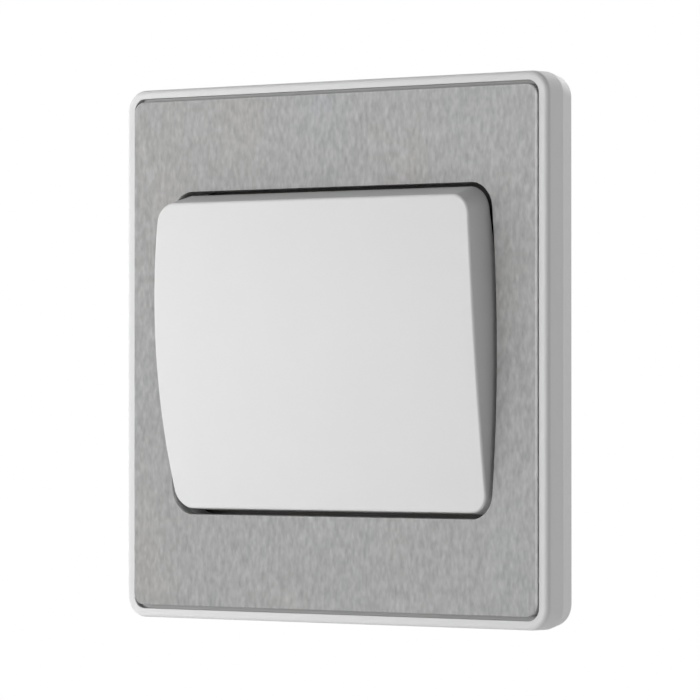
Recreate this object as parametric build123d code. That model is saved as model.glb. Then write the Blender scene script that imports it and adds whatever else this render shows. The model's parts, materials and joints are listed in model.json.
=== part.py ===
from build123d import *
import os
from math import cos, radians, sin, sqrt

# A wide rocker light switch for a square wall box, in millimetres.
# The origin lies midway between the two wall fixings, on the wall plane.
# Seen from the room, +X is right and +Z is up, and +Y runs into the wall.
# A height is measured from the wall towards the room, so a height h lies at y = -h.
# A depth is measured from the wall into its box, so a depth d lies at y = d.
os.makedirs("parts", exist_ok=True)

# Outer frame: one white moulding that clips over the yoke
plate_size = 95.0
plate_corner = 4.0
plate_height = 7.35
rim_side_width = 2.0
rim_end_width = 1.6
rim_round = 0.9
side_wall = 2.0
back_taper_height = 3.0
back_taper = 0.5
rim_step = 0.1
web_height = plate_height - rim_step
web_thickness = 1.8
collar_wall = 1.2
collar_gap = 0.4
frame_rib = 1.0
frame_rib_height = 1.0
frame_rib_pitch = 15.0
prise_notch_width = 8.0
prise_notch_height = 1.2

# Steel fascia: a thin brushed sheet bonded into the frame's recess
fascia_thickness = 0.6
fascia_side_gap = 0.1
fascia_end_gap = 0.7
groove_depth = 1.0
fascia_corner = 2.2
fascia_border = 10.5
opening_width = plate_size - 2 * fascia_border
opening_height = 57.7
opening_corner = 4.2
opening_bulge_radius = 310.0
lip_side = 0.0
lip_end = 0.0

# Rocker: a crowned cap that clips on a pivoting dolly
pivot_below_web = 2.4
pivot_height = web_height - pivot_below_web
rocker_tilt = 5.7
rocker_side_gap = 0.95
rocker_end_clearance = 0.6
rocker_end_flare = 0.85
rocker_crown_above_pivot = 7.77
rocker_crown_height = pivot_height + rocker_crown_above_pivot
rocker_crown_radius = 178.6
rocker_corner = 3.5
rocker_edge_round = 0.35
rocker_wall = 1.8
skirt_above_pivot = 0.1
cap_rib = 1.2
cap_rib_x = 24.0
cap_rib_depth = 2.0

# Dolly: the inner rocker, with its trunnions and the plunger's barrel
dolly_width = 25.2
dolly_length = 28.0
dolly_plate = 1.6
dolly_plate_above_pivot = 3.4
dolly_cheek = 2.0
dolly_cheek_round = 2.6
trunnion_radius = 1.5
trunnion_clearance = 0.05
barrel_radius = 3.7
barrel_reach = 6.0
gusset_thickness = 1.2
cap_leg_width = 8.0
cap_leg_thickness = 1.2
cap_leg_gap = 0.2
cap_leg_hook = 0.8
cap_leg_hook_height = 0.85

# Plunger and its spring, which snap the contact over
plunger_radius = 2.3
plunger_clearance = 0.1
plunger_shoulder_below_pivot = 3.6
plunger_body_length = 3.9
plunger_nose_radius = 1.5
plunger_reach = 10.0
plunger_tail_radius = 0.9
plunger_tail_length = 2.2
spring_length = 6.0
spring_coil_radius = 1.6
spring_wire_radius = 0.26
spring_turns = 5

# Mounting yoke: a folded steel plate
yoke_thickness = 1.0
yoke_side_gap = 2.5
yoke_width = plate_size - 2 * (side_wall + yoke_side_gap)
yoke_beyond_opening = 7.15
yoke_length = opening_height + 2 * yoke_beyond_opening
yoke_corner = 3.0
yoke_bend = 1.2
flange_inset = 6.0
flange_length = yoke_length - 2 * flange_inset
flange_height = 4.2
fixing_centres = 60.3
fixing_hole_radius = 2.1

# Frame clips, which hook through windows in the yoke's flanges
clip_z = 18.0
clip_width = 8.0
clip_thickness = 1.1
clip_gap = 0.2
clip_hook = 0.9
clip_hook_low = 1.5
clip_hook_high = 2.3
clip_window_clearance = 0.4
post_radius = 1.5
post_inset_x = 4.0
post_x = yoke_width / 2 - post_inset_x
post_inset_z = 3.0
post_z = yoke_length / 2 - post_inset_z

# Switch module behind the yoke
module_width = 44.0
module_length = 49.0
module_corner = 2.0
cover_thickness = 2.0
collar_length = 32.4
collar_width = 10.6
collar_clearance = 0.2
ear_thickness = 2.5
ear_gap = 0.4
ear_radius = 3.2
slot_width = 8.4
slot_length = 9.6
slot_corner = 1.5
floor_thickness = 2.6
chamber_width = 8.4
chamber_length = 30.0
pocket_clearance = 0.1
wire_entry_radius = 2.7
wire_funnel = 0.8
screw_access_radius = 3.1
screw_access_funnel = 0.5
module_back_chamfer = 1.0
parting_chamfer = 0.3
marking_width = 20.0
marking_length = 12.0
marking_depth = 0.4

# Contacts
bridge_tilt = 7.0
bridge_tip_clearance = 0.12
bridge_thickness = 0.8
bridge_width = 5.0
bridge_length = 28.4
bridge_lug = 0.9
bridge_lug_length = 2.4
contact_arm = 12.5
contact_radius = 1.6
contact_height = 0.8
contact_dome = 0.35
contact_gap = 0.06
fulcrum_clearance = 0.03
fulcrum_half_base = 0.9
strip_thickness = 0.8
strip_width = 5.0
strip_clearance = 0.15

# Wire terminals: brass blocks with a cross screw
terminal_width = 8.0
terminal_depth = 8.0
terminal_length = 7.0
terminal_edge = 0.4
terminal_bore_radius = 2.25
terminal_front_wall = 0.8
terminal_x = 11.0
terminal_inset = 5.3
terminal_z = module_length / 2 - terminal_inset
terminal_screw_radius = 1.75
terminal_screw_clearance = 0.03
terminal_screw_retreat = 0.15
terminal_head_radius = 2.7
terminal_head_height = 1.8
terminal_head_gap = 0.5
earth_beside_module = 5.0
earth_x = -(module_width / 2 + earth_beside_module)
earth_z = 21.0

# Module screws
module_screw_inset_x = 3.0
module_screw_inset_z = 3.2
module_screw_x = module_width / 2 - module_screw_inset_x
module_screw_z = module_length / 2 - module_screw_inset_z
module_screw_radius = 1.45
module_screw_clearance = 0.05
module_screw_hole = 13.0
module_screw_depth = 12.0
module_head_radius = 2.7
module_head_height = 1.6
screw_slot_width = 0.8
screw_slot_depth = 0.8

# Values that follow from the sizes above
plate_half = plate_size / 2
recess_half_x = plate_half - rim_side_width
recess_half_z = plate_half - rim_end_width
fascia_half_x = recess_half_x - fascia_side_gap
fascia_half_z = recess_half_z - fascia_end_gap
web_back = web_height - web_thickness
frame_inner_half = plate_half - side_wall
lip_width = opening_width - 2 * lip_side
lip_height = opening_height - 2 * lip_end
rocker_half_width = opening_width / 2 - rocker_side_gap
skirt_height = pivot_height + skirt_above_pivot
skirt_half_length = lip_height / 2 - rocker_end_clearance
face_half_length = skirt_half_length - rocker_end_flare
plate_top = pivot_height + dolly_plate_above_pivot + dolly_plate
plate_bottom = pivot_height + dolly_plate_above_pivot
barrel_end = pivot_height - barrel_reach
shoulder_height = pivot_height - plunger_shoulder_below_pivot
barrel_bore_radius = plunger_radius + plunger_clearance
ear_inner_x = dolly_width / 2 + ear_gap
flange_x = yoke_width / 2
cover_back = cover_thickness
bridge_front = plunger_reach - pivot_height + bridge_tip_clearance
fulcrum_depth = bridge_front + bridge_thickness
dome_radius = (contact_radius**2 + contact_dome**2) / (2 * contact_dome)
dome_centre = contact_height - dome_radius
contact_reach = (
    dome_centre * cos(radians(bridge_tilt))
    + contact_arm * sin(radians(bridge_tilt))
    + dome_radius
)
fixed_contact_front = fulcrum_depth + contact_reach + contact_gap
strip_front = fixed_contact_front + contact_height
terminal_front = strip_front + strip_thickness
terminal_back = terminal_front + terminal_depth
module_back = terminal_back + floor_thickness

pivot_axis = Axis((0, -pivot_height, 0), (1, 0, 0))
fulcrum_axis = Axis((0, fulcrum_depth, 0), (1, 0, 0))


def facing(height):
    """The plane parallel to the wall at this height, looking into the room."""
    return Plane.XZ.offset(height)


def slab(sketch, low, high):
    """A sketch in X and Z, thickened between two heights."""
    return extrude(facing(low) * sketch, high - low)


def inset(sketch, front, back):
    """A sketch in X and Z, thickened between two depths behind the wall plane."""
    return slab(sketch, -back, -front)


def bar(x_low, x_high, z_low, z_high, low, high):
    """A square-edged bar between two heights."""
    size = Rectangle(x_high - x_low, z_high - z_low)
    centre = Pos((x_low + x_high) / 2, (z_low + z_high) / 2)
    return slab(centre * size, low, high)


def disc(x, z, radius, low, high):
    """A round bar square to the wall between two heights."""
    return slab(Pos(x, z) * Circle(radius), low, high)


def bowed(half_width, half_length, bulge_radius, corner):
    """The opening's outline: straight top and bottom, and sides that bow outwards."""
    end_x = half_width - bulge_radius + sqrt(bulge_radius**2 - half_length**2)
    edges = [
        Line((-end_x, half_length), (end_x, half_length)),
        ThreePointArc((end_x, half_length), (half_width, 0), (end_x, -half_length)),
        Line((end_x, -half_length), (-end_x, -half_length)),
        ThreePointArc((-end_x, -half_length), (-half_width, 0), (-end_x, half_length)),
    ]
    outline = make_face(edges)
    if corner > 0:
        outline = fillet(outline.vertices(), corner)
    return outline


def at_rest(piece):
    """A rocker piece modelled level, tilted so that its upper end stands out."""
    return piece.rotate(pivot_axis, rocker_tilt)


def mirrored(piece):
    """A right-hand feature together with its copy on the left."""
    return [piece, mirror(piece, Plane.YZ)]


def frame_clip():
    """A right-hand frame clip, hooked through its window in the yoke's flange."""
    inner = flange_x + clip_gap
    outer = inner + clip_thickness
    tip = inner - clip_hook
    ramp = (clip_hook_high - clip_hook_low) / 2
    points = [
        (inner, -clip_hook_low),
        (outer, -clip_hook_low),
        (outer, -web_back),
        (inner, -web_back),
        (inner, -clip_hook_high),
        (tip, -clip_hook_high),
        (tip, -clip_hook_low - ramp),
    ]
    return extrude(make_face(Polyline(*points, close=True)), clip_width / 2, both=True)


def outer_frame():
    plain = RectangleRounded(plate_size, plate_size, plate_corner)
    back_size = plate_size - 2 * back_taper
    back = RectangleRounded(back_size, back_size, plate_corner - back_taper)
    body = slab(plain, back_taper_height, plate_height)
    body = fillet(body.faces().sort_by(Axis.Y)[0].edges(), rim_round)
    body += loft([facing(0) * back, facing(back_taper_height) * plain], ruled=True)
    inner = 2 * frame_inner_half
    body -= slab(RectangleRounded(inner, inner, plate_corner - side_wall), 0, web_back)
    recess = RectangleRounded(2 * recess_half_x, 2 * recess_half_z, fascia_corner)
    body -= slab(recess, web_height, plate_height)
    island = RectangleRounded(2 * fascia_half_x, 2 * fascia_half_z, fascia_corner)
    body -= slab(recess - island, web_height - groove_depth, web_height)
    lip = bowed(lip_width / 2, lip_height / 2, opening_bulge_radius, opening_corner - lip_end)
    body -= slab(lip, web_back, web_height)
    rim = bowed(
        lip_width / 2 + collar_wall,
        lip_height / 2 + collar_wall,
        opening_bulge_radius + collar_wall,
        opening_corner - lip_end + collar_wall,
    )
    body += slab(rim - lip, yoke_thickness + collar_gap, web_back)
    for end in (-1, 1):
        body += mirrored(Pos(0, 0, end * clip_z) * frame_clip())
        body += mirrored(disc(post_x, end * post_z, post_radius, yoke_thickness, web_back))
    rib_start = lip_height / 2 + collar_wall / 2
    rib_end = plate_half - side_wall / 2 - back_taper
    for place in range(-2, 3):
        low_x = place * frame_rib_pitch - frame_rib / 2
        for end in (-1, 1):
            ends = sorted((end * rib_start, end * rib_end))
            rib_low = web_back - frame_rib_height
            body += bar(low_x, low_x + frame_rib, *ends, rib_low, web_back)
    notch_half = prise_notch_width / 2
    body -= bar(-notch_half, notch_half, -plate_half, -frame_inner_half, 0, prise_notch_height)
    return body


def steel_fascia():
    sheet = RectangleRounded(2 * fascia_half_x, 2 * fascia_half_z, fascia_corner)
    sheet -= bowed(opening_width / 2, opening_height / 2, opening_bulge_radius, opening_corner)
    return slab(sheet, web_height, web_height + fascia_thickness)


def rocker_block(margin, corner):
    """The rocker's form, level: bowed sides, sloping ends and a crowned face."""
    crown = rocker_crown_height - margin
    radius = rocker_crown_radius - margin
    face_end = face_half_length - margin
    shoulder = crown - radius + sqrt(radius**2 - face_end**2)
    slope = rocker_end_flare / (shoulder - skirt_height)
    top_end = face_end - slope * (crown - shoulder)
    half_width = rocker_half_width - margin
    bulge = opening_bulge_radius - margin
    skirt = bowed(half_width, face_end + rocker_end_flare, bulge, corner)
    top = bowed(half_width, top_end, bulge, corner)
    body = loft([facing(skirt_height) * skirt, facing(crown) * top], ruled=True)
    centre = Plane.YZ * (Pos(radius - crown, 0) * Circle(radius))
    return body & extrude(centre, rocker_half_width, both=True)


def rocker_cap():
    outer = rocker_block(0, rocker_corner)
    low_face = crown_end_height() - rocker_edge_round
    rim = [e for e in outer.edges() if -e.center().Y > low_face]
    outer = fillet(rim, rocker_edge_round)
    cavity = rocker_block(rocker_wall, rocker_corner - rocker_wall)
    body = outer - cavity
    ring_x = dolly_width / 2 - cap_leg_gap * 2
    ring_z = dolly_length / 2 - cap_rib
    ribs = bar(-ring_x, ring_x, -ring_z, ring_z, plate_top, rocker_crown_height)
    inner_x = ring_x - cap_rib
    inner_z = ring_z - cap_rib
    ribs -= bar(-inner_x, inner_x, -inner_z, inner_z, plate_top, rocker_crown_height)
    rib_low = rocker_crown_height - rocker_wall - cap_rib_depth
    for side in (-1, 1):
        low_x = side * cap_rib_x - cap_rib / 2
        high_x = low_x + cap_rib
        ribs += bar(low_x, high_x, -opening_height, opening_height, rib_low, rocker_crown_height)
    body += ribs & cavity
    for end in (-1, 1):
        body += cap_leg(end) & outer
    return at_rest(body)


def crown_end_height():
    """The height of the crowned face at its upper and lower edges, level."""
    drop = rocker_crown_radius - sqrt(rocker_crown_radius**2 - face_half_length**2)
    return rocker_crown_height - drop


def cap_leg(end):
    """A clip leg under the cap, at its upper (1) or lower (-1) end of the dolly."""
    near = dolly_length / 2 + cap_leg_gap
    far = near + cap_leg_thickness
    hook = near - cap_leg_gap - cap_leg_hook
    hook_top = plate_bottom - cap_leg_gap
    hook_low = hook_top - cap_leg_hook_height
    leg_top = rocker_crown_height - rocker_wall / 2 - dolly_length**2 / (8 * rocker_crown_radius)
    points = [
        (-leg_top, end * near),
        (-hook_top, end * near),
        (-hook_top, end * hook),
        (-(hook_top + hook_low) / 2, end * hook),
        (-hook_low, end * near),
        (-hook_low, end * far),
        (-leg_top, end * far),
    ]
    profile = Plane.YZ * make_face(Polyline(*points, close=True))
    return extrude(profile, cap_leg_width / 2, both=True)


def dolly():
    half = dolly_width / 2
    body = bar(-half, half, -dolly_length / 2, dolly_length / 2, plate_bottom, plate_top)
    body += disc(0, 0, barrel_radius, barrel_end, plate_bottom)
    for side in (-1, 1):
        inner = side * (half - dolly_cheek)
        outer = side * half
        cheek = Plane.YZ * (Pos(-pivot_height, 0) * Circle(dolly_cheek_round))
        web = bar(
            min(inner, outer), max(inner, outer),
            -dolly_cheek_round, dolly_cheek_round,
            pivot_height, plate_bottom,
        )
        body += extrude(Pos(inner, 0, 0) * cheek, side * dolly_cheek) + web
        pin = Plane.YZ * (Pos(-pivot_height, 0) * Circle(trunnion_radius))
        body += extrude(Pos(outer, 0, 0) * pin, side * (ear_gap + ear_thickness))
        ends = sorted((side * barrel_radius / 2, inner))
        gusset = gusset_thickness / 2
        body += bar(*ends, -gusset, gusset, pivot_height, plate_bottom)
    bore_end = shoulder_height + spring_length
    body -= disc(0, 0, barrel_bore_radius, barrel_end, bore_end)
    return at_rest(body)


def plunger():
    body_end = shoulder_height - plunger_body_length
    nose_end = pivot_height - plunger_reach
    nose_centre = nose_end + plunger_nose_radius
    body = disc(0, 0, plunger_radius, body_end, shoulder_height)
    body += disc(0, 0, plunger_nose_radius, nose_centre, body_end)
    body += Pos(0, -nose_centre, 0) * Sphere(plunger_nose_radius)
    body += disc(0, 0, plunger_tail_radius, shoulder_height, shoulder_height + plunger_tail_length)
    return at_rest(body)


def plunger_spring():
    height = spring_length - 2 * spring_wire_radius
    path = Helix(height / spring_turns, height, spring_coil_radius)
    section = Plane(path @ 0, z_dir=path % 0) * Circle(spring_wire_radius)
    coil = sweep(section, path, is_frenet=True)
    stand = Rotation(90, 0, 0) * coil
    return at_rest(Pos(0, -shoulder_height - spring_wire_radius, 0) * stand)


def yoke_flange():
    """The right-hand flange, folded towards the room along the yoke's edge."""
    inner_x = flange_x - yoke_thickness
    bend_x = flange_x - yoke_bend
    middle = yoke_bend * (1 - sqrt(0.5))
    root_x = bend_x - yoke_thickness
    edges = [
        Line((root_x, 0), (bend_x, 0)),
        ThreePointArc((bend_x, 0), (flange_x - middle, -middle), (flange_x, -yoke_bend)),
        Polyline(
            (flange_x, -yoke_bend),
            (flange_x, -flange_height),
            (inner_x, -flange_height),
            (inner_x, -yoke_thickness),
            (root_x, -yoke_thickness),
            (root_x, 0),
        ),
    ]
    flange = extrude(make_face(edges), flange_length / 2, both=True)
    window_half = clip_width / 2 + clip_window_clearance
    window_top = clip_hook_high + clip_window_clearance
    for end in (-clip_z, clip_z):
        low, high = end - window_half, end + window_half
        flange -= bar(inner_x, flange_x, low, high, clip_hook_low, window_top)
    return flange


def mounting_yoke():
    flat_width = yoke_width - 2 * yoke_bend
    body = slab(RectangleRounded(flat_width, yoke_length, yoke_corner), 0, yoke_thickness)
    body += mirrored(yoke_flange())
    body -= mirrored(disc(fixing_centres / 2, 0, fixing_hole_radius, 0, yoke_thickness))
    cut_out = RectangleRounded(
        collar_length + 2 * collar_clearance,
        collar_width + 2 * collar_clearance,
        slot_corner + collar_clearance,
    )
    body -= slab(cut_out, 0, yoke_thickness)
    hole = module_screw_radius + module_screw_clearance
    for x, z in screw_places():
        body -= disc(x, z, hole, 0, yoke_thickness)
    return body


def screw_places():
    """The four module screws, as X and Z."""
    ends = (-module_screw_z, module_screw_z)
    return [(x, z) for x in (-module_screw_x, module_screw_x) for z in ends]


def module_cover():
    outline = RectangleRounded(module_width, module_length, module_corner)
    body = slab(outline, -cover_thickness, 0)
    body += slab(RectangleRounded(collar_length, collar_width, slot_corner), 0, yoke_thickness)
    for side in (-1, 1):
        ends = sorted((side * ear_inner_x, side * (ear_inner_x + ear_thickness)))
        ear = bar(*ends, -ear_radius, ear_radius, 0, pivot_height)
        crown = Plane.YZ * (Pos(-pivot_height, 0) * Circle(ear_radius))
        ear += extrude(Pos(ends[0], 0, 0) * crown, ear_thickness)
        body += ear
    bore = Plane.YZ * (Pos(-pivot_height, 0) * Circle(trunnion_radius + trunnion_clearance))
    body -= extrude(bore, module_width / 2, both=True)
    slot = RectangleRounded(slot_width, slot_length, slot_corner)
    body -= slab(slot, -cover_thickness, yoke_thickness)
    hole = module_screw_radius + module_screw_clearance
    for x, z in screw_places():
        body -= disc(x, z, hole, -cover_thickness, 0)
    return body


def strip_outline(name, margin):
    """A contact strip's outline in X and Z, grown by a margin."""
    half = strip_width / 2 + margin
    far_end = terminal_z + terminal_length / 2 - terminal_edge + margin
    near_end = contact_arm - strip_width / 2 - margin
    if name == "l1":
        return rect(-half, half, near_end, far_end)
    if name == "l2":
        foot_end = -contact_arm - strip_width / 2 - margin
        foot = rect(-half, terminal_x + half, foot_end, -near_end)
        return foot + rect(terminal_x - half, terminal_x + half, -far_end, -near_end)
    foot = rect(-terminal_x - half, half, -half, half)
    return foot + rect(-terminal_x - half, -terminal_x + half, -far_end, half)


def rect(x_low, x_high, z_low, z_high):
    """A rectangle between these limits."""
    size = Rectangle(x_high - x_low, z_high - z_low)
    return Pos((x_low + x_high) / 2, (z_low + z_high) / 2) * size


def terminal_places():
    return {
        "l1": (0, terminal_z, 1),
        "l2": (terminal_x, -terminal_z, -1),
        "com": (-terminal_x, -terminal_z, -1),
    }


def module_base():
    outline = RectangleRounded(module_width, module_length, module_corner)
    body = inset(outline, cover_back, module_back)
    body = chamfer(body.faces().sort_by(Axis.Y)[-1].edges(), module_back_chamfer)
    body = chamfer(body.faces().sort_by(Axis.Y)[0].edges(), parting_chamfer)
    marking = RectangleRounded(marking_width, marking_length, 1)
    body -= inset(marking, module_back - marking_depth, module_back)
    body -= inset(Rectangle(chamber_width, chamber_length), cover_back, terminal_front)
    bore_depth = terminal_front + terminal_front_wall + terminal_bore_radius
    pocket_width = terminal_width + 2 * pocket_clearance
    pocket_length = terminal_length + 2 * pocket_clearance
    for name, (x, z, way) in terminal_places().items():
        body -= inset(strip_outline(name, strip_clearance), cover_back, terminal_front)
        body -= inset(Pos(x, z) * Rectangle(pocket_width, pocket_length), cover_back, terminal_back)
        body -= disc(x, z, screw_access_radius, -module_back, -terminal_back)
        funnel = Cone(screw_access_radius, screw_access_radius + screw_access_funnel, screw_access_funnel)
        funnel_middle = module_back - screw_access_funnel / 2
        body -= Pos(x, funnel_middle, z) * Rotation(-90, 0, 0) * funnel
        outside = way * module_length / 2
        inside = way * terminal_z
        entry = Pos(x, bore_depth, (outside + inside) / 2)
        body -= entry * Cylinder(wire_entry_radius, abs(outside - inside))
        mouth = Pos(x, bore_depth, outside - way * wire_funnel / 2)
        wide = wire_entry_radius + wire_funnel
        cone = Cone(wire_entry_radius, wide, wire_funnel)
        body -= mouth * (cone if way > 0 else Rotation(180, 0, 0) * cone)
    hole = module_screw_radius + module_screw_clearance
    for x, z in screw_places():
        body -= disc(x, z, hole, -cover_back - module_screw_hole, -cover_back)
    return body


def terminal_block(x, z, front):
    """A brass block whose front face lies at this depth, bored along Z for the wire."""
    blank = inset(Pos(x, z) * Rectangle(terminal_width, terminal_length), front, front + terminal_depth)
    blank = chamfer(blank.edges().filter_by(Axis.Y), terminal_edge)
    bore_depth = front + terminal_front_wall + terminal_bore_radius
    blank -= Pos(x, bore_depth, z) * Cylinder(terminal_bore_radius, terminal_length)
    tapped = terminal_screw_radius + terminal_screw_clearance
    blank -= disc(x, z, tapped, -front - terminal_depth, -bore_depth)
    return blank


def terminal_screw(x, z, front):
    """The wire screw of a terminal, backed off clear of its bore."""
    bore_end = front + terminal_front_wall + 2 * terminal_bore_radius
    head_low = front + terminal_depth + terminal_head_gap
    head_end = head_low + terminal_head_height
    screw = disc(x, z, terminal_screw_radius, -head_low, -bore_end - terminal_screw_retreat)
    screw += disc(x, z, terminal_head_radius, -head_end, -head_low)
    across = Pos(x, z) * Rectangle(2 * terminal_head_radius, screw_slot_width)
    return screw - inset(across, head_end - screw_slot_depth, head_end)


def module_screw(x, z):
    low = -cover_back - module_screw_depth
    head_end = yoke_thickness + module_head_height
    screw = disc(x, z, module_screw_radius, low, yoke_thickness)
    screw += disc(x, z, module_head_radius, yoke_thickness, head_end)
    across = Pos(x, z) * Rectangle(2 * module_head_radius, screw_slot_width)
    return screw - slab(across, head_end - screw_slot_depth, head_end)


def contact_bridge():
    half = bridge_width / 2
    outline = SlotOverall(bridge_length, bridge_width, rotation=90)
    lug = half + bridge_lug
    outline += Rectangle(2 * lug, bridge_lug_length)
    bridge = inset(outline, bridge_front, fulcrum_depth)
    return bridge.rotate(fulcrum_axis, -bridge_tilt)


def moving_contact(end):
    """A domed contact on the bridge's back, level."""
    rim = contact_height - contact_dome
    seat = Pos(0, end * contact_arm) * Circle(contact_radius)
    dome = inset(seat, fulcrum_depth, fulcrum_depth + contact_height)
    dome &= Pos(0, fulcrum_depth + dome_centre, end * contact_arm) * Sphere(dome_radius)
    return dome + inset(seat, fulcrum_depth, fulcrum_depth + rim)


def fixed_contact(end):
    centre = Pos(0, end * contact_arm) * Circle(contact_radius)
    return inset(centre, fixed_contact_front, strip_front)


def contact_strip(name):
    return inset(strip_outline(name, 0), strip_front, terminal_front)


def com_fulcrum():
    """The common strip, with the knife edge on which the bridge rocks."""
    apex = fulcrum_depth + fulcrum_clearance
    points = [(apex, 0), (strip_front, fulcrum_half_base), (strip_front, -fulcrum_half_base)]
    profile = Plane.YZ * make_face(Polyline(*points, close=True))
    return contact_strip("com") + extrude(profile, bridge_width / 2, both=True)


def pieces():
    """Every piece of the switch by name, in the rest position."""
    places = terminal_places()
    made = {
        "outer_frame": outer_frame(),
        "steel_fascia": steel_fascia(),
        "rocker_cap": rocker_cap(),
        "dolly": dolly(),
        "plunger": plunger(),
        "plunger_spring": plunger_spring(),
        "mounting_yoke": mounting_yoke(),
        "module_cover": module_cover(),
        "module_base": module_base(),
        "module_screws": Compound([module_screw(x, z) for x, z in screw_places()]),
        "contact_bridge": contact_bridge(),
        "com_fulcrum": com_fulcrum(),
        "l1_contact_strip": contact_strip("l1"),
        "l2_contact_strip": contact_strip("l2"),
        "fixed_contacts": Compound([fixed_contact(end) for end in (-1, 1)]),
        "earth_terminal": terminal_block(earth_x, earth_z, 0),
        "earth_screw": terminal_screw(earth_x, earth_z, 0),
    }
    tips = [moving_contact(end).rotate(fulcrum_axis, -bridge_tilt) for end in (-1, 1)]
    made["moving_contacts"] = Compound(tips)
    for name, (x, z, _) in places.items():
        made[name + "_terminal"] = terminal_block(x, z, terminal_front)
    screws = [terminal_screw(x, z, terminal_front) for x, z, _ in places.values()]
    made["terminal_screws"] = Compound(screws)
    return made


for node, piece in pieces().items():
    export_step(piece, f"parts/{node}.step")
    print(f"{node:20s} {piece.volume:10.2f} mm3")
print(f"wire bores at depth {terminal_front + terminal_front_wall + terminal_bore_radius:.3f}")
print(f"contact fulcrum at depth {fulcrum_depth:.3f}")
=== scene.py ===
# %% [markdown]
# # A wide rocker light switch
# The switch is a white moulded frame round a sheet of brushed steel, with one wide white rocker.
# Behind them sit a folded steel yoke and a moulded module with brass wire terminals.
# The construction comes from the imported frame, which is never moved here. This lesson gives it its looks.

# %% Load the frame
import json
from math import pi, radians, sqrt

import bmesh
import bpy
from mathutils import Matrix, Vector


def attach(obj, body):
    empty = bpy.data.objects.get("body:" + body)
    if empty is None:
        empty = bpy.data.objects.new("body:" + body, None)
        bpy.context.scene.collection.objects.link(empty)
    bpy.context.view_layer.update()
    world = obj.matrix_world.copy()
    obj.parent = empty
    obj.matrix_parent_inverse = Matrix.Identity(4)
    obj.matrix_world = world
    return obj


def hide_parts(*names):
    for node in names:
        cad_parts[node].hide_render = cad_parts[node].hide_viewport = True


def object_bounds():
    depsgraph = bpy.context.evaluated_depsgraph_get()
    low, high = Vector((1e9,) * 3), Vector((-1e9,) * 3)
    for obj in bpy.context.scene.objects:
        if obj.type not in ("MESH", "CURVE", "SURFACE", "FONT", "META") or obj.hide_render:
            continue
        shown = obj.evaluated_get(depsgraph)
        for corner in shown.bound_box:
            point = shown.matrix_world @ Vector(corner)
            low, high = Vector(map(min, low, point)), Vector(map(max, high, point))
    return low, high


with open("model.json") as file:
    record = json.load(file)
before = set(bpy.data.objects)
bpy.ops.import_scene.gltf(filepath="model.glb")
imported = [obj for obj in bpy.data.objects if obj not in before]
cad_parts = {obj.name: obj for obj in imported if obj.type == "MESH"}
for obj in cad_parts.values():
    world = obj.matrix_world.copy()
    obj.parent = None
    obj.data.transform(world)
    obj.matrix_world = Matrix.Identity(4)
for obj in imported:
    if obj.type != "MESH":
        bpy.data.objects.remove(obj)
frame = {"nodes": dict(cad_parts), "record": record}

MM = 0.001
cad_box = [list(corner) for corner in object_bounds()]

# %% [markdown]
# ## The camera
# The photograph looks at the switch from the front right, with a long lens, from a hair below its middle.
# A long lens far away keeps the square outline nearly parallel, so the distance matters as much as the
# angle. It could be placed by eye, but its place was fitted to the corners of the frame's outline. The
# camera is set first, because every later piece is judged through it.

# %% Camera
CAMERA_PLACE = Vector((550.0, -682.10, -8.92)) * MM
CAMERA_TARGET = Vector((-0.769, -0.85, 0.401)) * MM
CAMERA_LENS = 255.87
CAMERA_SENSOR = 36.0

bpy.ops.object.camera_add(location=CAMERA_PLACE)
camera = bpy.context.object
camera.name = "photo_camera"
camera.rotation_euler = (CAMERA_TARGET - CAMERA_PLACE).to_track_quat("-Z", "Y").to_euler()
camera.data.lens = CAMERA_LENS
camera.data.sensor_width = CAMERA_SENSOR
camera.data.clip_start = 0.05
camera.data.clip_end = 20.0
bpy.context.scene.camera = camera
bpy.context.scene.view_settings.view_transform = "Standard"
print("camera is", round((CAMERA_TARGET - CAMERA_PLACE).length, 3), "m away")

# %% [markdown]
# ## Shader maths
# A finish is easier to read as a sum than as a web of nodes. One small class wraps a socket, and Python's
# own operators add the Math nodes. Another makes every other node, from its type, settings and sockets.

# %% Shader helpers
class Signal:
    """A shader socket that Python's operators act on."""

    def __init__(self, nodes, socket):
        self.nodes = nodes
        self.socket = socket

    def math(self, operation, first, second):
        return self.nodes.node("Math", {"operation": operation}, {0: first, 1: second})

    def __add__(self, other):
        return self.math("ADD", self, other)

    def __mul__(self, other):
        return self.math("MULTIPLY", self, other)

    def __sub__(self, other):
        return self.math("SUBTRACT", self, other)

    def __rsub__(self, other):
        return self.math("SUBTRACT", other, self)

    def __lt__(self, limit):
        return self.math("LESS_THAN", self, limit)

    def __gt__(self, limit):
        return self.math("GREATER_THAN", self, limit)

    def or_more(self, other):
        return self.math("MAXIMUM", self, other)

    __radd__ = __add__
    __rmul__ = __mul__


class Nodes:
    """A node tree that is built from Python."""

    def __init__(self, tree):
        self.tree = tree

    def feed(self, socket, value):
        """Links a signal to a socket, or sets its plain value."""
        if isinstance(value, Signal):
            self.tree.links.new(value.socket, socket)
        else:
            socket.default_value = value

    def node(self, kind, settings=None, sockets=None, output=0):
        """Adds a node and returns one of its outputs, by number or name."""
        made = self.tree.nodes.new("ShaderNode" + kind)
        for key, value in (settings or {}).items():
            setattr(made, key, value)
        for key, value in (sockets or {}).items():
            self.feed(made.inputs[key], value)
        return Signal(self, made.outputs[output])


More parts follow.
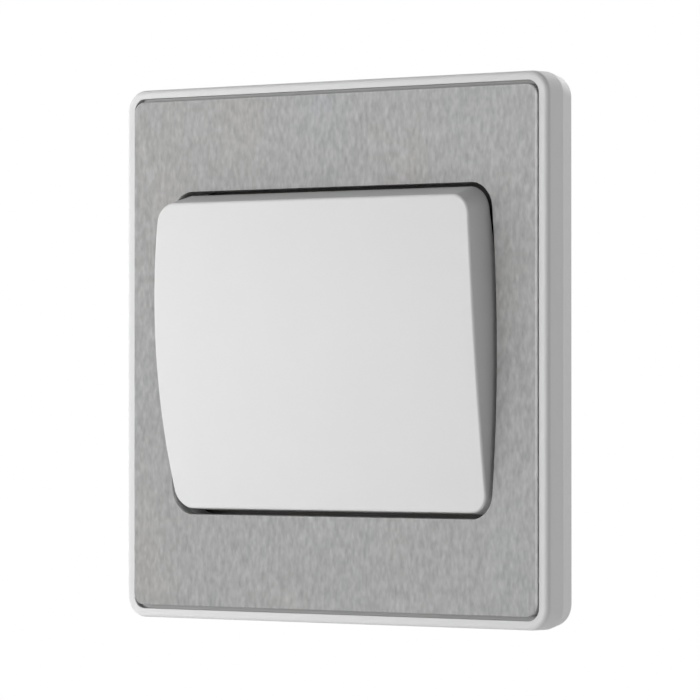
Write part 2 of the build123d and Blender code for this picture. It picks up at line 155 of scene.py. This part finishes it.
class Finish(Nodes):
    """A material on top of the Principled shader."""

    def __init__(self, name):
        self.material = bpy.data.materials.new(name)
        self.material.use_nodes = True
        super().__init__(self.material.node_tree)
        self.shader = self.tree.nodes["Principled BSDF"]

    def stretched(self, grains):
        """Object coordinates, multiplied so that one unit is one grain of a pattern."""
        place = self.node("TexCoord", output="Object")
        return self.node("VectorMath", {"operation": "MULTIPLY"}, {0: place, 1: grains})

    def from_middle(self):
        """How far a point is from the middle planes, along X, Y and Z, in metres."""
        place = self.node("TexCoord", output="Object")
        size = self.node("VectorMath", {"operation": "ABSOLUTE"}, {0: place})
        return [self.node("SeparateXYZ", {}, {0: size}, output=axis) for axis in range(3)]

    def noise(self, grains, detail):
        """Smooth noise with this many grains per metre along each axis."""
        sockets = {"Vector": self.stretched(grains), "Scale": 1.0, "Detail": detail}
        return self.node("TexNoise", {}, sockets)

    def blend(self, factor, first, second, how="MIX"):
        """Two colours put together by a factor. A Mix node's colours are its sockets 6 and 7."""
        settings = {"data_type": "RGBA", "blend_type": how}
        return self.node("Mix", settings, {0: factor, 6: first, 7: second}, output=2)

    def surface(self, **values):
        """Sets the shader's sockets, with spaces in their names written as underscores."""
        for key, value in values.items():
            self.feed(self.shader.inputs[key.replace("_", " ")], value)

    def relief(self, height, depth_mm, strength=1.0):
        """Feeds a bump of this depth to the shader's normal."""
        sockets = {"Height": height, "Distance": depth_mm * MM, "Strength": strength}
        self.surface(Normal=self.node("Bump", {}, sockets))


def grey(level, warmth=0.0):
    """A colour from its brightness, a little warmer or cooler."""
    return (level * (1 + warmth), level, level * (1 - warmth), 1.0)


# %% [markdown]
# ## White moulded plastic
# The frame and the rocker are satin white mouldings. The tool's polish leaves a very fine orange peel and
# tiny changes in gloss, which break up a highlight without showing as a pattern. A picture could hold
# this grain, but noise on the piece's own coordinates needs none and stays fine close up. In the groove
# round the steel, and on the opening's edge under it, the frame's white is darkened: a painted shade.

# %% White plastics
RECESS_HALF = (45.5, 45.9)
GROOVE_LIMIT = (RECESS_HALF[0] + 0.05, RECESS_HALF[1] + 0.05)
GROOVE_HEIGHTS = (5.5, 7.2)
# Painted shade: the share of the white left in the groove round the steel and at the opening's edge.
PAINTED_GROOVE_TONE = 0.58
CLOUDS = (60, 60, 60)
PEEL = (2600, 2600, 2600)
CLOUD_TONE = 0.015
CLOUD_GLOSS = 0.06
PEEL_GLOSS = 0.04


def moulded(name, level, roughness, warmth=0.0, peel=0.004, shade=None):
    """A moulded plastic with faint clouds, uneven gloss and orange peel, and painted shade where a mask
    says.
    """
    finish = Finish(name)
    clouds = finish.noise(CLOUDS, detail=3)
    grain = finish.noise(PEEL, detail=2)
    dark = grey(level * (1 - CLOUD_TONE), warmth)
    light = grey(level * (1 + CLOUD_TONE), warmth)
    colour = finish.blend(clouds, dark, light)
    # Painted shade: where the mask is 1, the colour is darkened.
    if shade:
        colour = finish.blend(shade(finish), colour, grey(level * PAINTED_GROOVE_TONE, warmth))
    smoothest = roughness - (CLOUD_GLOSS + PEEL_GLOSS) / 2
    finish.surface(
        Base_Color=colour,
        Roughness=smoothest + clouds * CLOUD_GLOSS + grain * PEEL_GLOSS,
        IOR=1.49,
        Specular_IOR_Level=0.2,
    )
    finish.relief(grain, peel)
    return finish.material


def painted_groove_shade(finish):
    """Where shade is painted: 1 in the groove round the steel and on the opening's edge under it, and 0
    elsewhere.
    """
    x, height, z = finish.from_middle()
    lowest, highest = GROOVE_HEIGHTS
    inside = (x < GROOVE_LIMIT[0] * MM) * (z < GROOVE_LIMIT[1] * MM)
    return inside * (height > lowest * MM) * (height < highest * MM)


ROCKER_WHITE = moulded("rocker_white", 0.80, 0.42)
# The frame's white carries painted shade in the groove round the steel and at the opening's edge.
FRAME_WHITE = moulded("frame_white", 0.79, 0.45, shade=painted_groove_shade)
INNER_WHITE = moulded("inner_white", 0.70, 0.55, warmth=0.01)
MODULE_GREY = moulded("module_grey", 0.065, 0.55, peel=0.010)
print("plastics:", ", ".join(made.name for made in bpy.data.materials))

# %% [markdown]
# ## Brushed steel
# The fascia is brushed along Z. Short soft streaks, about 0.5 mm wide and 1 to 3 mm long, lie over broader
# mottles and under a much finer grain, and the sheet drifts between a warm and a cool grey. The streaks
# change the colour, the roughness and the relief together, as scratches do. An anisotropic shader could
# draw the light out along them, but noise stretched along Z also shows single streaks, and it stays
# with the piece when the model is exported. The sheet's two side edges are rolled over, which leaves
# them smoother than the face.

# %% Brushed steel
STREAKS = (1450, 1450, 660)
MOTTLES = (900, 900, 420)
HAIRS = (7000, 7000, 700)
DRIFT = (45, 45, 30)
COOLEST = -0.020
WARMEST = 0.024
STEEL_ROUGHNESS = 0.76
ROLLED_EDGE = 45.12
ROLLED_SMOOTHER = 0.28
STREAK_SHARE = 0.50
MOTTLE_SHARE = 0.28
HAIR_SHARE = 0.22
SCRATCH_DEPTH = 0.006


def brushed(name, level, contrast):
    """A brushed metal whose mean tone is the level, whatever the contrast."""
    finish = Finish(name)
    streak = finish.noise(STREAKS, detail=1)
    mottle = finish.noise(MOTTLES, detail=1)
    hair = finish.noise(HAIRS, detail=2)
    tone = finish.blend(finish.noise(DRIFT, detail=2), grey(level, COOLEST), grey(level, WARMEST))
    marks = streak * STREAK_SHARE + mottle * MOTTLE_SHARE + hair * HAIR_SHARE
    lift = 1 - 0.5 * contrast + marks * contrast
    shade = finish.node("CombineColor", {}, {0: lift, 1: lift, 2: lift})
    rolled = finish.from_middle()[0] > ROLLED_EDGE * MM
    finish.surface(
        Base_Color=finish.blend(1.0, tone, shade, "MULTIPLY"),
        Metallic=1.0,
        Roughness=STEEL_ROUGHNESS + streak * 0.08 + hair * 0.04 - rolled * ROLLED_SMOOTHER,
    )
    finish.relief(streak * 0.5 + hair, SCRATCH_DEPTH, strength=0.5)
    return finish.material


FASCIA_STEEL = brushed("fascia_steel", 0.60, 0.84)

# %% [markdown]
# ## Metals behind the plate
# The yoke is plated steel, coloured near black so that the gaps round the rocker look dark: a painted
# shade. The terminals are bright brass, the strips rolled copper alloy, and the screws plated steel. One
# flat colour each would do from afar, but a tone and a polish that wander keep small parts from looking
# like plastic.

# %% Metals
POLISH_RANGE = 0.14
METAL_RELIEF = 0.006


def plated(name, dark, light, roughness, grains=(500, 500, 500)):
    """A metal whose tone and polish wander over its surface."""
    finish = Finish(name)
    cloud = finish.noise(grains, detail=3)
    finish.surface(
        Base_Color=finish.blend(cloud, dark, light),
        Metallic=1.0,
        Roughness=roughness + cloud * POLISH_RANGE,
    )
    finish.relief(cloud, METAL_RELIEF, strength=0.4)
    return finish.material


# Painted shade: the yoke's plating is made near black so that the gaps round the rocker read as dark.
YOKE_SHADE_DARK = plated("yoke_plate_shade_dark", (0.085, 0.082, 0.080, 1), (0.13, 0.125, 0.12, 1), 0.36)
BRASS = plated("terminal_brass", (0.62, 0.42, 0.15, 1), (0.74, 0.54, 0.24, 1), 0.22, (900, 900, 900))
COPPER = plated("copper_strip", (0.60, 0.30, 0.17, 1), (0.72, 0.40, 0.25, 1), 0.30, (900, 900, 120))
SCREW_STEEL = plated("screw_steel", (0.48, 0.48, 0.46, 1), (0.62, 0.62, 0.60, 1), 0.24, (1400, 1400, 1400))
SILVER = plated("contact_silver", (0.72, 0.72, 0.70, 1), (0.82, 0.82, 0.80, 1), 0.18, (1400, 1400, 1400))
SPRING = plated("spring_wire", (0.34, 0.34, 0.34, 1), (0.46, 0.46, 0.46, 1), 0.30, (2000, 2000, 2000))

# %% [markdown]
# ## Dressing the solids
# The record names a material slot for every solid, so one table from slot to finish dresses them all.
# The pieces that are modelled below take theirs from it too, so old and new parts match.

# %% Give the frame's own solids their finish
finishes = {
    "white_moulding": FRAME_WHITE,
    "rocker_white": ROCKER_WHITE,
    "inner_white": INNER_WHITE,
    "module_grey": MODULE_GREY,
    "brushed_fascia": FASCIA_STEEL,
    "zinc_plate": YOKE_SHADE_DARK,
    "screw_steel": SCREW_STEEL,
    "copper_alloy": COPPER,
    "contact_silver": SILVER,
    "terminal_brass": BRASS,
    "spring_wire": SPRING,
}


def wear(piece, slot):
    """Dresses a piece in the finish of one of the record's slots."""
    piece.data.materials.clear()
    piece.data.materials.append(finishes[slot])


for row in frame["record"]["subparts"]:
    wear(frame["nodes"][row["node"]], row["material_slot"])

# %% [markdown]
# ## Modelling by hand, in code
# Every new piece starts as a primitive, which is then cut, bevelled, inset and extruded in edit mode, as
# one would with the mouse. Lists of points could do it too, but they would be hard to change later.
# Sizes are in millimetres, and a height is a distance from the wall towards the room.

# %% Starting a piece
def start(primitive, name, **settings):
    """Adds a primitive with all else deselected, and puts its place into its mesh."""
    bpy.ops.object.select_all(action="DESELECT")
    primitive(**settings)
    piece = bpy.context.object
    piece.name = name
    bpy.ops.object.transform_apply(location=True, rotation=True, scale=True)
    return piece


def box(name, x_low, x_high, low, high, z_low, z_high):
    """A plain box between these limits, as a blank to work on."""
    place = Vector((x_low + x_high, -low - high, z_low + z_high)) * MM / 2
    size = Vector((x_high - x_low, high - low, z_high - z_low)) * MM
    return start(bpy.ops.mesh.primitive_cube_add, name, size=1, location=place, scale=size)


def rod(name, x, z, radius, low, high):
    """A round bar square to the wall."""
    place = Vector((x, -(low + high) / 2, z)) * MM
    return start(
        bpy.ops.mesh.primitive_cylinder_add, name, vertices=32, radius=radius * MM,
        depth=(high - low) * MM, location=place, rotation=(pi / 2, 0, 0),
    )


def to_side(side, *limits):
    """Two limits on one side of the middle, the lower first."""
    return sorted(side * limit for limit in limits)


# %% Selecting by place
def middle(part):
    """The middle of a face or edge, as X, height and Z in millimetres."""
    centre = sum((vertex.co for vertex in part.verts), Vector()) / len(part.verts)
    return centre.x / MM, -centre.y / MM, centre.z / MM


def near(value, other, slack=0.02):
    return abs(value - other) < slack


def at_height(height):
    """A test for the edges that lie at a height."""
    return lambda edge: near(middle(edge)[1], height)


def select(piece, kind, test):
    """In edit mode, selects the faces or edges that pass a test."""
    bpy.context.view_layer.objects.active = piece
    if piece.mode != "EDIT":
        bpy.ops.object.mode_set(mode="EDIT")
    bpy.ops.mesh.select_mode(type="FACE" if kind == "faces" else "EDGE")
    bpy.ops.mesh.select_all(action="DESELECT")
    mesh = bmesh.from_edit_mesh(piece.data)
    for part in getattr(mesh, kind):
        if test(part):
            part.select_set(True)
    bmesh.update_edit_mesh(piece.data)


def done():
    bpy.ops.object.mode_set(mode="OBJECT")


# %% Bevels, cuts and shaping
SMOOTH_ANGLE = 32


def soften(piece, test, radius, segments):
    """Rounds the edges that pass a test."""
    select(piece, "edges", test)
    bpy.ops.mesh.bevel(offset=radius * MM, segments=segments, affect="EDGES", clamp_overlap=False)
    done()


def upright(edge):
    """True for an edge that runs square to the wall."""
    along = edge.verts[1].co - edge.verts[0].co
    return abs(along.y) > 0.9 * along.length


def block(name, half_x, half_z, low, high, corner, segments=10):
    """A block round the middle, with its four upright corners rounded."""
    piece = box(name, -half_x, half_x, low, high, -half_z, half_z)
    soften(piece, upright, corner, segments)
    return piece


def rows(piece, step, reach):
    """Cuts a piece into rows along Z, so that it can take a curve."""
    select(piece, "faces", lambda face: True)
    count = int(reach / step)
    for row in range(-count, count + 1):
        bpy.ops.mesh.select_all(action="SELECT")
        bpy.ops.mesh.bisect(plane_co=(0, 0, row * step * MM), plane_no=(0, 0, 1))
    done()


def reshape(piece, rule):
    """Moves every point of a piece by a rule on its X, height and Z."""
    for vertex in piece.data.vertices:
        x, height, z = rule(vertex.co.x / MM, -vertex.co.y / MM, vertex.co.z / MM)
        vertex.co = Vector((x, -height, z)) * MM


def combine(piece, tool, how):
    """Cuts a tool from a piece, joins it on or keeps what both share, and removes the tool."""
    cut = piece.modifiers.new("combine", "BOOLEAN")
    cut.operation = how
    cut.solver = "EXACT"
    cut.object = tool
    bpy.ops.object.select_all(action="DESELECT")
    piece.select_set(True)
    bpy.context.view_layer.objects.active = piece
    bpy.ops.object.modifier_apply(modifier=cut.name)
    bpy.data.objects.remove(tool, do_unlink=True)
    return piece


def finish_piece(piece, body, slot, *nodes):
    """Smooths the shading, dresses the piece and sets it on its body."""
    bpy.ops.object.select_all(action="DESELECT")
    piece.select_set(True)
    bpy.context.view_layer.objects.active = piece
    bpy.ops.object.shade_smooth_by_angle(angle=radians(SMOOTH_ANGLE))
    even = piece.modifiers.new("even", "WEIGHTED_NORMAL")
    even.keep_sharp = True
    even.weight = 100
    bpy.ops.object.modifier_apply(modifier=even.name)
    wear(piece, slot)
    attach(piece, body)
    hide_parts(*nodes)
    print(piece.name, len(piece.data.polygons), "faces")


# %% [markdown]
# ## The bowed outline
# The opening and the rocker share one outline. Top and bottom are straight, and the sides bow outwards on
# a large radius, which gives the switch its soft look. A curve could be extruded for it. A rounded block
# that is cut into rows and bent was chosen, because its rows can take the rocker's crown as well.

# %% Bowed blocks
BOW_RADIUS = 310.0
BOW_STEP = 2.0


def drop(radius, z):
    """How far a circle of this radius has fallen away from its top at a distance z."""
    return radius - sqrt(radius * radius - z * z)


def bowed_block(name, half_x, half_z, low, high, corner, radius=BOW_RADIUS):
    piece = block(name, half_x, half_z, low, high, corner)
    rows(piece, BOW_STEP, half_z)
    reshape(piece, lambda x, height, z: (x * (1 - drop(radius, z) / half_x), height, z))
    return piece


# %% [markdown]
# ## The moulded frame
# The frame is one white moulding: a rounded plate with a rim, a recess for the steel, a skirt that tapers
# down to the wall and a hollow back. The rim catches the light, so its round is a real bevel of 0.9 mm.
# The recess is cut with an island in it, on which the steel lies, so that only a fine groove is left.
# A Solidify modifier would give walls of one thickness, but front and back differ here, so both are cut.

# %% Frame: plate and rim
PLATE_HALF = 47.5
PLATE_CORNER = 4.0
PLATE_HEIGHT = 7.35
RIM_ROUND = 0.9
TAPER_HEIGHT = 3.0
TAPER = 0.5

outer = block("moulded_frame", PLATE_HALF, PLATE_HALF, 0, PLATE_HEIGHT, PLATE_CORNER, 16)
select(outer, "faces", lambda face: True)
bpy.ops.mesh.bisect(plane_co=(0, -TAPER_HEIGHT * MM, 0), plane_no=(0, 1, 0))
done()
shrink = (PLATE_HALF - TAPER) / PLATE_HALF
reshape(outer, lambda x, height, z: (x * shrink, height, z * shrink) if height < 0.01 else (x, height, z))
select(outer, "edges", at_height(TAPER_HEIGHT))
bpy.ops.mesh.mark_sharp()
done()
soften(outer, at_height(PLATE_HEIGHT), RIM_ROUND, 6)

# %% Frame: recess in front, hollow behind
SHEET_HALF = (45.4, 45.2)
RECESS_CORNER = 2.2
GROOVE_BOTTOM = 6.25
WEB_FRONT = 7.25
WEB_BACK = 5.45
WALL = 2.0
LIP_ROUND = 0.15
RECESS_CUT_TOP = 9
ISLAND_CUT_LOW = 5

recess = block("recess", *RECESS_HALF, GROOVE_BOTTOM, RECESS_CUT_TOP, RECESS_CORNER)
island = block("island", *SHEET_HALF, ISLAND_CUT_LOW, WEB_FRONT, RECESS_CORNER)
combine(recess, island, "DIFFERENCE")
combine(outer, recess, "DIFFERENCE")
select(outer, "faces", lambda face: near(middle(face)[1], 0) and len(face.verts) > 8)
bpy.ops.mesh.inset(thickness=(WALL - TAPER) * MM)
bpy.ops.mesh.extrude_region_move(TRANSFORM_OT_translate={"value": (0, -WEB_BACK * MM, 0)})
done()


def inner_lip(edge):
    """True for the front edge of the recess."""
    x, height, z = middle(edge)
    return near(height, PLATE_HEIGHT) and abs(x) < GROOVE_LIMIT[0] and abs(z) < GROOVE_LIMIT[1]


soften(outer, inner_lip, LIP_ROUND, 2)

# %% [markdown]
# ## Behind the frame's web
# A collar round the opening and a row of ribs at each end stiffen the web, posts rest on the yoke, and four
# clips hold the yoke's flanges. A notch in the lower edge lets a screwdriver in to prise the frame off.
# They could be extruded from the web's faces. Blanks that are joined on are easier to place and to move.

# %% Frame: collar, opening, posts and clips
OPENING = (37.0, 28.85)
OPENING_CORNER = 4.2
OPENING_CUT = (-1, 9)
COLLAR_WALL = 1.2
COLLAR_LOW = 1.4
ROOT = 6.2
RIB_PLACES = (-30, -15, 0, 15, 30)
RIB_HALF = 0.5
RIB_ENDS = (29.5, 45.8)
RIB_LAP = 1
POST_X = 39
POST_Z = 33
POST_RADIUS = 1.5
POST_LOW = 1.0
CLIP_Z = 18
CLIP_HALF = 4
CLIP_LOW = 1.5
CLIP_SIDES = (43.2, 44.3)
HOOK_SIDES = (42.3, 43.4)
HOOK_HIGH = 2.3
HOOK_LEAD = 0.38
NOTCH = (-4, 4, -1, 1.2, -49, -44)

AROUND = (OPENING[0] + COLLAR_WALL, OPENING[1] + COLLAR_WALL)
COLLAR_CURVES = (OPENING_CORNER + COLLAR_WALL, BOW_RADIUS + COLLAR_WALL)
combine(outer, bowed_block("collar", *AROUND, COLLAR_LOW, ROOT, *COLLAR_CURVES), "UNION")
for end in (-1, 1):
    for x in RIB_PLACES:
        sides = (x - RIB_HALF, x + RIB_HALF)
        rib = box("rib", *sides, WEB_BACK - RIB_LAP, ROOT, *to_side(end, *RIB_ENDS))
        combine(outer, rib, "UNION")
combine(outer, bowed_block("opening", *OPENING, *OPENING_CUT, OPENING_CORNER), "DIFFERENCE")


def hook_lead(edge):
    """True for the edge of a hook that meets the yoke first."""
    x, height, z = middle(edge)
    return near(abs(x), HOOK_SIDES[0]) and near(height, CLIP_LOW)


for side in (-1, 1):
    for end in (-1, 1):
        post = rod("post", side * POST_X, end * POST_Z, POST_RADIUS, POST_LOW, ROOT)
        combine(outer, post, "UNION")
        along = (end * CLIP_Z - CLIP_HALF, end * CLIP_Z + CLIP_HALF)
        clip = box("clip", *to_side(side, *CLIP_SIDES), CLIP_LOW, ROOT, *along)
        hook = box("hook", *to_side(side, *HOOK_SIDES), CLIP_LOW, HOOK_HIGH, *along)
        soften(hook, hook_lead, HOOK_LEAD, 1)
        combine(clip, hook, "UNION")
        combine(outer, clip, "UNION")
combine(outer, box("notch", *NOTCH), "DIFFERENCE")
finish_piece(outer, "housing", "white_moulding", "outer_frame")

# %% [markdown]
# ## The steel fascia
# A sheet of brushed steel 0.6 mm thick lies on the island and stands half a millimetre above the rim, with
# a fine groove all round it. Its side edges are rolled over, its ends far less, and the edge of its window
# is barely broken. The outer edge is shaped before the window is cut, which keeps the shading clean.

# %% Fascia
SHEET_TOP = WEB_FRONT + 0.6
EDGE_ROUND = 0.42
END_SHARE = 0.2
WINDOW_ROUND = 0.06
WINDOW_CUT = (5, 10)
OUTSIDE = 42
SHARP = 0.8

sheet = block("brushed_sheet", *SHEET_HALF, WEB_FRONT, SHEET_TOP, RECESS_CORNER)


def front_edge(edge, outer):
    """True for the sheet's front edge, round the outside or round the window."""
    x, height, z = middle(edge)
    outside = abs(x) > OUTSIDE or abs(z) > OUTSIDE
    on_front = near(height, SHEET_TOP, 0.005)
    return on_front and outside == outer and edge.calc_face_angle(0) > SHARP


def sharper_ends(x, height, z):
    """Shrinks the sheet's rounded edge towards its upper and lower ends."""
    middle_x = min(abs(x), SHEET_HALF[0] - RECESS_CORNER)
    middle_z = min(abs(z), SHEET_HALF[1] - RECESS_CORNER)
    out = Vector((abs(x) - middle_x, abs(z) - middle_z))
    reach = out.length
    if reach < RECESS_CORNER - EDGE_ROUND - 0.1 or height < SHEET_TOP - EDGE_ROUND - 0.05:
        return x, height, z
    out.normalize()
    share = 1 - (1 - END_SHARE) * out.y ** 2
    reach = RECESS_CORNER - (RECESS_CORNER - reach) * share
    new_x = (middle_x + out.x * reach) * (1 if x > 0 else -1)
    new_z = (middle_z + out.y * reach) * (1 if z > 0 else -1)
    return new_x, SHEET_TOP - (SHEET_TOP - height) * share, new_z


soften(sheet, lambda edge: front_edge(edge, True), EDGE_ROUND, 4)
reshape(sheet, sharper_ends)
combine(sheet, bowed_block("window", *OPENING, *WINDOW_CUT, OPENING_CORNER), "DIFFERENCE")
soften(sheet, lambda edge: front_edge(edge, False), WINDOW_ROUND, 2)
finish_piece(sheet, "housing", "brushed_fascia", "steel_fascia")

# %% [markdown]
# ## The rocker
# The rocker is a thin-walled cap with a crowned face, bowed sides and ends that flare a little towards the
# wall. It is modelled level: a rounded block cut into rows, whose points follow the crown and the bow. The
# same block made smaller is its cavity. A subdivided surface could be pulled into this form, but here
# every radius is exact. At rest its upper end stands out, so the whole cap is tilted last.

# %% Rocker form
SKIRT_HEIGHT = 4.95
CROWN_HEIGHT = 12.62
CROWN_RADIUS = 178.6
CROWN_STEP = 1.5
FACE_DEPTH = 1.5
FACE_ROUND = 0.5
ROCKER_HALF_X = 36.05
FACE_HALF_Z = 27.4
END_FLARE = 0.85
ROCKER_CORNER = 3.5
ROCKER_WALL = 1.8


def rocker_form(name, margin, edge_round=0.0, low=SKIRT_HEIGHT):
    """The rocker's block, level, made smaller all round by a margin."""
    crown = CROWN_HEIGHT - margin
    face_end = FACE_HALF_Z - margin
    skirt_end = face_end + END_FLARE
    half_x = ROCKER_HALF_X - margin
    piece = block(name, half_x, skirt_end, low, crown, ROCKER_CORNER - margin, 12)
    if edge_round > 0:
        soften(piece, at_height(crown), edge_round, 5)
    rows(piece, CROWN_STEP, skirt_end)

    def rule(x, height, z):
        if height > crown - FACE_DEPTH:
            z = z * face_end / skirt_end
            height = height - drop(CROWN_RADIUS - margin, z)
        return x * (1 - drop(BOW_RADIUS - margin, z) / half_x), height, z

    reshape(piece, rule)
    return piece


# %% [markdown]
# ## Inside the rocker
# Behind the face a ring of ribs centres the cap on the dolly, two long ribs keep it flat, and a leg with a
# hook at each end of the dolly holds it on. The ribs start too tall, and are trimmed to the crown's form.

# %% Rocker: cap, ribs and clip legs
RIB_TOP = 13.35
RING_X = 12.2
RING_Z = 12.8
RING_LOW = 9.85
RING_BORE_X = 11.0
RING_BORE_Z = 11.6
SIDE_RIB_X = 24
SIDE_RIB_HALF = 0.6
SIDE_RIB_END = 27
SIDE_RIB_LOW = 8.82
LEG_HALF = 4
LEG_HEIGHTS = (7.2, 11.17)
LEG_ENDS = (14.2, 15.4)
LEG_HOOK_HEIGHTS = (7.55, 8.05)
LEG_HOOK_ENDS = (13.2, 14.5)

cap = rocker_form("rocker", 0, FACE_ROUND)
combine(cap, rocker_form("cavity", ROCKER_WALL, low=SKIRT_HEIGHT - 1), "DIFFERENCE")
ribs = box("rib_ring", -RING_X, RING_X, RING_LOW, RIB_TOP, -RING_Z, RING_Z)
bore = (-RING_BORE_X, RING_BORE_X, RING_LOW - 1, RIB_TOP + 0.5, -RING_BORE_Z, RING_BORE_Z)
combine(ribs, box("ring_bore", *bore), "DIFFERENCE")
for side in (-1, 1):
    across = (side * SIDE_RIB_X - SIDE_RIB_HALF, side * SIDE_RIB_X + SIDE_RIB_HALF)
    side_rib = box("side_rib", *across, SIDE_RIB_LOW, RIB_TOP, -SIDE_RIB_END, SIDE_RIB_END)
    combine(ribs, side_rib, "UNION")
combine(ribs, rocker_form("trim", ROCKER_WALL / 2), "INTERSECT")
combine(cap, ribs, "UNION")
for end in (-1, 1):
    leg = box("leg", -LEG_HALF, LEG_HALF, *LEG_HEIGHTS, *to_side(end, *LEG_ENDS))
    leg_hook = box("leg_hook", -LEG_HALF, LEG_HALF, *LEG_HOOK_HEIGHTS, *to_side(end, *LEG_HOOK_ENDS))
    combine(leg, leg_hook, "UNION")
    combine(cap, leg, "UNION")

# %% Rocker: tilt to the photo's pose
PIVOT = Vector((0, -4.85, 0)) * MM
REST_TILT = radians(5.7)

turned = Matrix.Rotation(REST_TILT, 4, "X") @ Matrix.Translation(-PIVOT)
cap.data.transform(Matrix.Translation(PIVOT) @ turned)
finish_piece(cap, "rocker", "rocker_white", "rocker_cap")

# %% [markdown]
# ## Floor and light
# The photograph has a pure white ground. A white world that the camera and reflections see gives that, and
# a pale floor below the view keeps the shadow. Away from the switch the floor fades into the same white.
# What falls on things is dimmer, and comes a little more from behind the switch and from below.
# The key light is a soft box at the front left, close enough that the rocker dims a little from left to
# right. A faint one behind shows the back, and reaches nothing that faces the camera. A picture of a
# studio could light the scene too, but with plain light the colours look as they are written.

# %% Rays that see the white room
def room_rays(nodes):
    """1 for what the camera, gloss and glass see, and 0 for light that falls on things."""
    kinds = ("Is Camera Ray", "Is Glossy Ray", "Is Transmission Ray")
    camera_ray, gloss, glass = (nodes.node("LightPath", output=kind) for kind in kinds)
    direct = nodes.node("LightPath", output="Diffuse Depth") < 0.5
    return camera_ray.or_more(gloss).or_more(glass) * direct


# %% World
AMBIENT = 0.46
AMBIENT_LEAN = (0.0, 0.37, -0.11)

world = bpy.data.worlds.new("white_room")
world.use_nodes = True
bpy.context.scene.world = world
room = Nodes(world.node_tree)
background = room.tree.nodes["Background"]
direction = room.node("TexCoord", output="Generated")
ends = {0: direction, 1: AMBIENT_LEAN}
lean = room.node("VectorMath", {"operation": "DOT_PRODUCT"}, ends, output="Value")
strengths = {"Value": room_rays(room), "To Min": lean + AMBIENT, "To Max": 1.0}
room.feed(background.inputs["Strength"], room.node("MapRange", {}, strengths))
room.feed(background.inputs["Color"], (1, 1, 1, 1))
print("the world shines at", AMBIENT, "on things, and at 1 for the camera")

# %% Floor
FLOOR_DROP = 52 * MM
FLOOR_RADIUS = 0.9
FLOOR_TONE = 0.88
FADE_START = 0.22
FADE_END = 0.50

bpy.ops.object.select_all(action="DESELECT")
bpy.ops.mesh.primitive_circle_add(vertices=96, radius=FLOOR_RADIUS, fill_type="NGON")
floor = bpy.context.object
floor.name = "floor"
floor.data.transform(Matrix.Translation((0, 0, cad_box[0][2] - FLOOR_DROP)))
pale = Finish("pale_floor")
pale.surface(Base_Color=grey(FLOOR_TONE), Roughness=0.9)
around = pale.node("VectorMath", {"operation": "LENGTH"}, {0: pale.stretched((1, 1, 0))}, output="Value")
limits = {"Value": around, "From Min": FADE_START, "From Max": FADE_END}
fade = pale.node("MapRange", {"interpolation_type": "SMOOTHSTEP"}, limits)
white = pale.node("Emission", {}, {"Strength": 1.0})
shader = Signal(pale, pale.shader.outputs[0])
mixed = pale.node("MixShader", {}, {0: fade * room_rays(pale), 1: shader, 2: white})
pale.feed(pale.tree.nodes["Material Output"].inputs["Surface"], mixed)
floor.data.materials.append(pale.material)
print("the floor fades out between", FADE_START, "and", FADE_END, "m from the middle")

# %% Lights
def soft_box(name, place, size, power, in_gloss):
    """A square area light that looks at the switch, and shows in reflections or not."""
    bpy.ops.object.light_add(type="AREA", location=place)
    lamp = bpy.context.object
    lamp.name = name
    lamp.data.size = size
    lamp.data.energy = power
    lamp.visible_glossy = in_gloss
    lamp.rotation_euler = (-Vector(place)).to_track_quat("-Z", "Y").to_euler()
    print(name, "is", round(Vector(place).length, 2), "m away")


soft_box("key_front_left", (-0.27, -0.40, -0.08), size=0.40, power=3.2, in_gloss=False)
soft_box("fill_behind", (-0.05, 0.75, 0.35), size=0.50, power=2.2, in_gloss=True)
